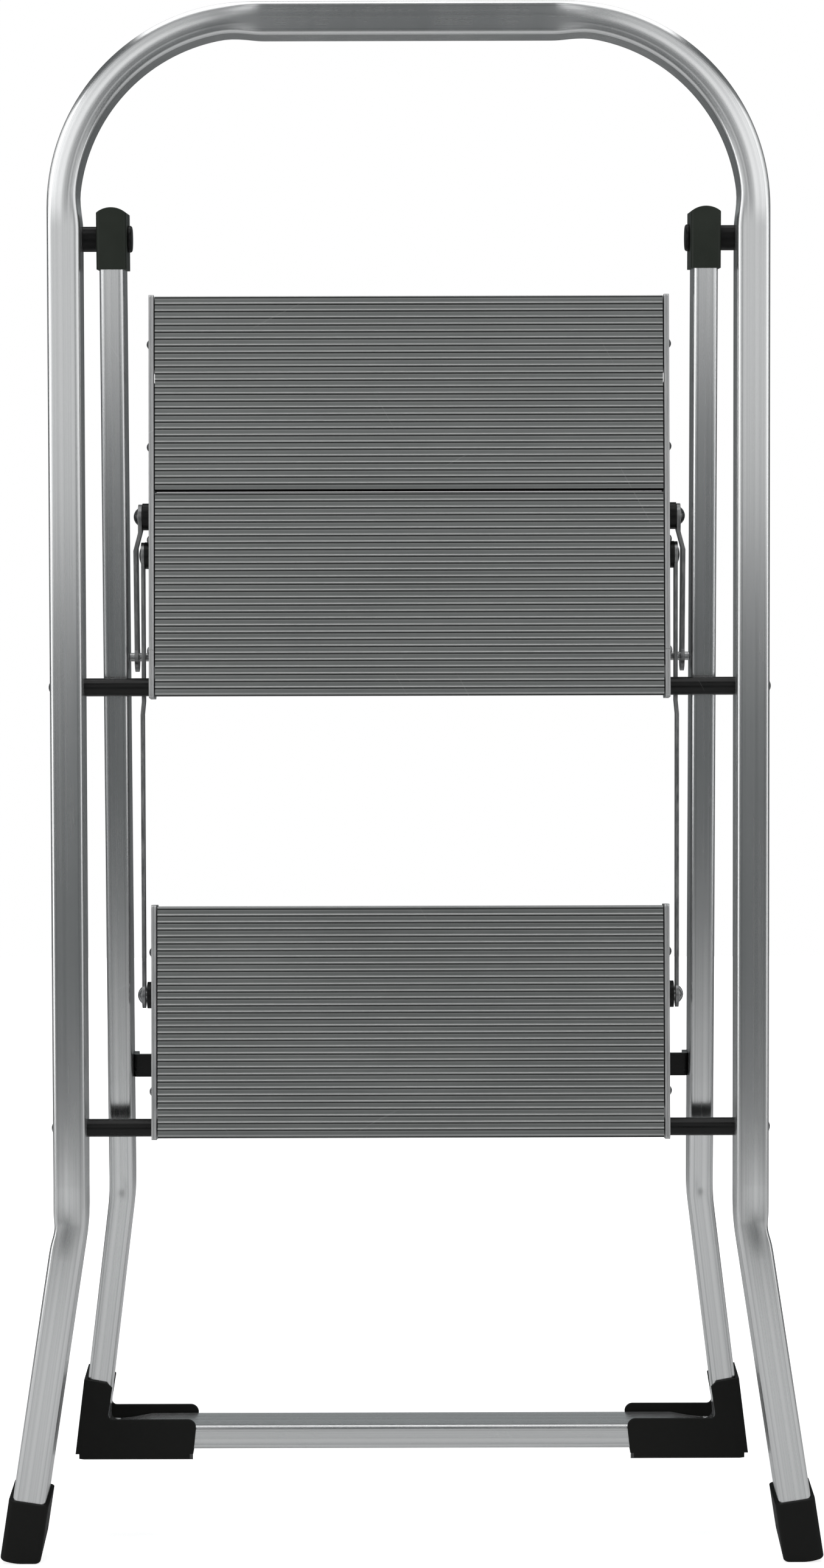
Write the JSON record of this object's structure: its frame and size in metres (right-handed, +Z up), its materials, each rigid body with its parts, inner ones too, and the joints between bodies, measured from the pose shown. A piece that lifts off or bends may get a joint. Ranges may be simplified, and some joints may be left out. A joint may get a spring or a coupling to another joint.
{
  "type": "step stool",
  "caption": "Folding aluminium step stool with two ribbed treads, a tall handle bow and black feet, folded flat.",
  "frame": {"origin": "centre of the folded stool's bounding box at its lowest level, the front boots' lowest edge", "axes": "+Z up along the front legs, +X to the right across the treads, -Y towards the side the user climbs"},
  "size_m": [0.5022, 0.0916, 0.9447],
  "materials": {
    "tube_aluminium": "satin mill finish with fine lengthwise lines",
    "board_aluminium": "satin, extruded ribs",
    "plate_aluminium": "satin, extruded",
    "black_bar": "satin black coating",
    "link_steel": "zinc plated, satin",
    "rivet_steel": "bright plated",
    "black_sleeve": "matte black, moulded",
    "foot_plastic": "matte black, moulded"
  },
  "bodies": {
    "front_frame": {"front_tube": "tube_aluminium", "upper_rod": "black_bar", "lower_rod": "black_bar", "rod_rivets": "rivet_steel", "front_boot_left": "foot_plastic", "front_boot_right": "foot_plastic", "pivot_spacer_left": "black_sleeve", "pivot_spacer_right": "black_sleeve", "pivot_axle_left": "rivet_steel", "pivot_axle_right": "rivet_steel"},
    "rear_frame": {"rear_tube": "tube_aluminium", "pivot_cap_left": "black_sleeve", "pivot_cap_right": "black_sleeve", "corner_foot_left": "foot_plastic", "corner_foot_right": "foot_plastic", "rear_brace": "black_bar", "brace_rivets": "rivet_steel"},
    "platform": {"platform_front_board": "board_aluminium", "platform_rear_board": "board_aluminium", "platform_side_left": "plate_aluminium", "platform_side_right": "plate_aluminium", "platform_rivets": "rivet_steel", "support_spacer_left": "black_sleeve", "support_spacer_right": "black_sleeve", "support_rivet_left": "rivet_steel", "support_rivet_right": "rivet_steel", "step_link_top_spacer_left": "black_sleeve", "step_link_top_spacer_right": "black_sleeve", "step_link_top_rivet_left": "rivet_steel", "step_link_top_rivet_right": "rivet_steel"},
    "step": {"step_board": "board_aluminium", "step_side_left": "plate_aluminium", "step_side_right": "plate_aluminium", "step_rivets": "rivet_steel", "step_link_bottom_spacer_left": "black_sleeve", "step_link_bottom_spacer_right": "black_sleeve", "step_link_bottom_rivet_left": "rivet_steel", "step_link_bottom_rivet_right": "rivet_steel"},
    "support_link_left": {"support_link_left": "link_steel", "support_pin_left": "black_sleeve"},
    "support_link_right": {"support_link_right": "link_steel", "support_pin_right": "black_sleeve"},
    "step_link_left": {"step_link_left": "link_steel"},
    "step_link_right": {"step_link_right": "link_steel"}
  },
  "joints": [
    {"name": "main_fold", "type": "hinge", "parent": "front_frame", "child": "rear_frame", "pos_m": [0, -0.01953, 0.8053], "axis": [1, 0, 0], "range_deg": [0, 37.3]},
    {"name": "platform_fold", "type": "hinge", "parent": "front_frame", "child": "platform", "pos_m": [0, -0.02854, 0.5337], "axis": [-1, 0, 0], "range_deg": [0, 62.2]},
    {"name": "step_fold", "type": "hinge", "parent": "front_frame", "child": "step", "pos_m": [0, -0.02854, 0.2647], "axis": [-1, 0, 0], "range_deg": [0, 62.2]},
    {"name": "support_link_left_fold", "type": "hinge", "parent": "platform", "child": "support_link_left", "pos_m": [-0.1653, -0.01528, 0.63727], "axis": [1, 0, 0], "range_deg": [0, 174.8]},
    {"name": "step_link_left_fold", "type": "hinge", "parent": "platform", "child": "step_link_left", "pos_m": [-0.1624, -0.01593, 0.61372], "axis": [1, 0, 0], "range_deg": [0, 62.2]},
    {"name": "support_link_right_fold", "type": "hinge", "parent": "platform", "child": "support_link_right", "pos_m": [0.1653, -0.01528, 0.63727], "axis": [1, 0, 0], "range_deg": [0, 174.8]},
    {"name": "step_link_right_fold", "type": "hinge", "parent": "platform", "child": "step_link_right", "pos_m": [0.1624, -0.01593, 0.61372], "axis": [1, 0, 0], "range_deg": [0, 62.2]}
  ],
  "couplings": [
    {"joint": "platform_fold", "follows": "main_fold", "ratio": 1.666},
    {"joint": "step_fold", "follows": "main_fold", "ratio": 1.666},
    {"joint": "support_link_left_fold", "follows": "main_fold", "ratio": 4.6851},
    {"joint": "step_link_left_fold", "follows": "main_fold", "ratio": 1.666},
    {"joint": "support_link_right_fold", "follows": "main_fold", "ratio": 4.6851},
    {"joint": "step_link_right_fold", "follows": "main_fold", "ratio": 1.666}
  ]
}
